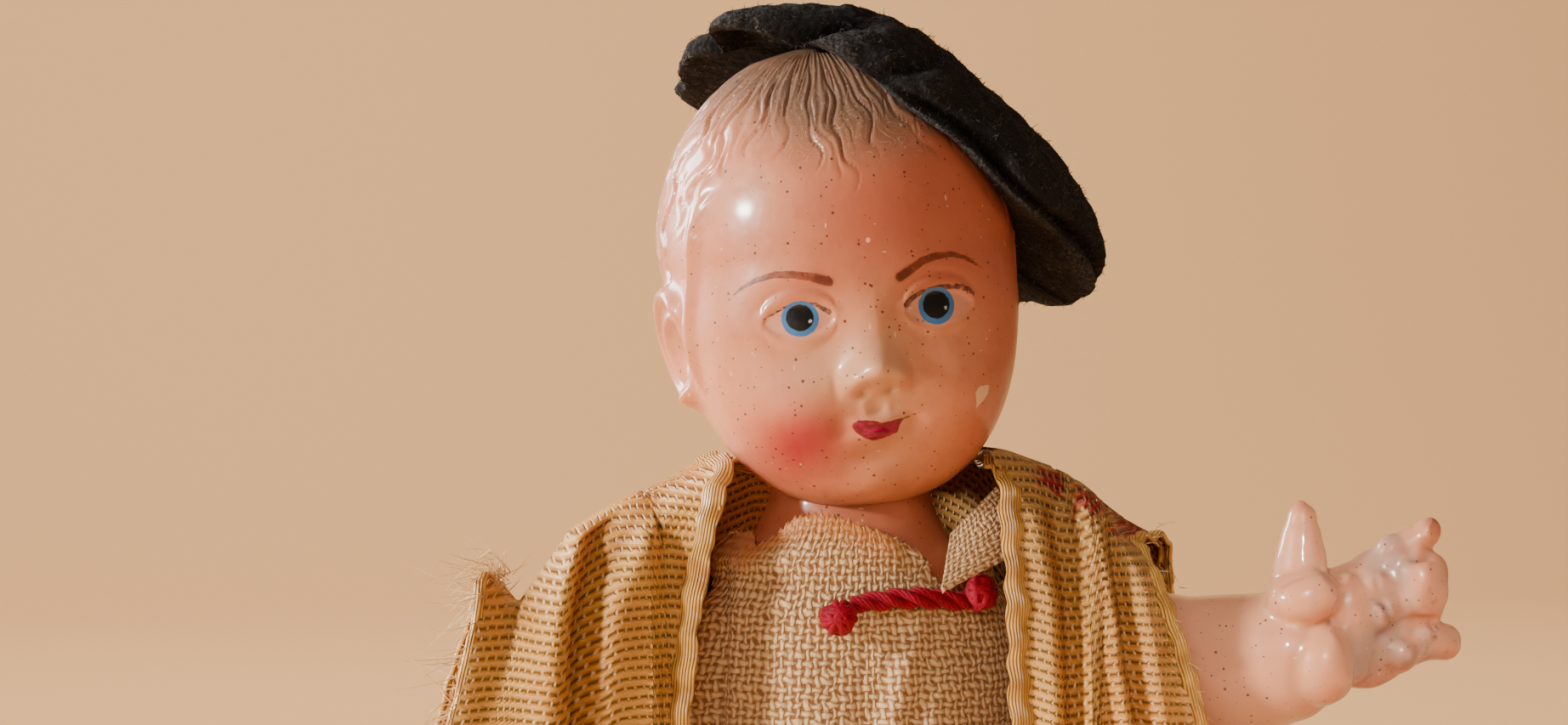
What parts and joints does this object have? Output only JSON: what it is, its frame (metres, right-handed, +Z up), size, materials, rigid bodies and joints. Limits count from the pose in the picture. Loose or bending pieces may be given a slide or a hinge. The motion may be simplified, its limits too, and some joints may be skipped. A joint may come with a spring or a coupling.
{
  "type": "celluloid doll",
  "caption": "Small moulded celluloid doll that stands on flat shoes, dressed in a felt beret, linen shirt, wide-sleeved ribbed jacket and plain trousers",
  "frame": {"origin": "on the floor, under the middle of the whole doll's bounding box", "axes": "+Z up along the doll's height, the doll faces -Y, and its left arm reaches out along +X"},
  "size_m": [0.0894, 0.0382, 0.1535],
  "materials": {
    "celluloid": "glossy flesh-coloured celluloid, painted face",
    "linen": "coarse open plain weave",
    "straw_cloth": "shiny ribbed weave, straw yellow",
    "dark_cloth": "matt plain weave",
    "felt": "pilled wool felt",
    "crimson_yarn": "twisted cotton yarn"
  },
  "bodies": {
    "root": {"body": "celluloid", "arm_left": "celluloid", "arm_right": "celluloid", "leg_left": "celluloid", "leg_right": "celluloid", "trousers": "dark_cloth", "shirt": "linen", "jacket": "straw_cloth", "beret": "felt", "frog_knot_left": "crimson_yarn", "frog_knot_right": "crimson_yarn", "frog_cord": "crimson_yarn"}
  },
  "joints": []
}
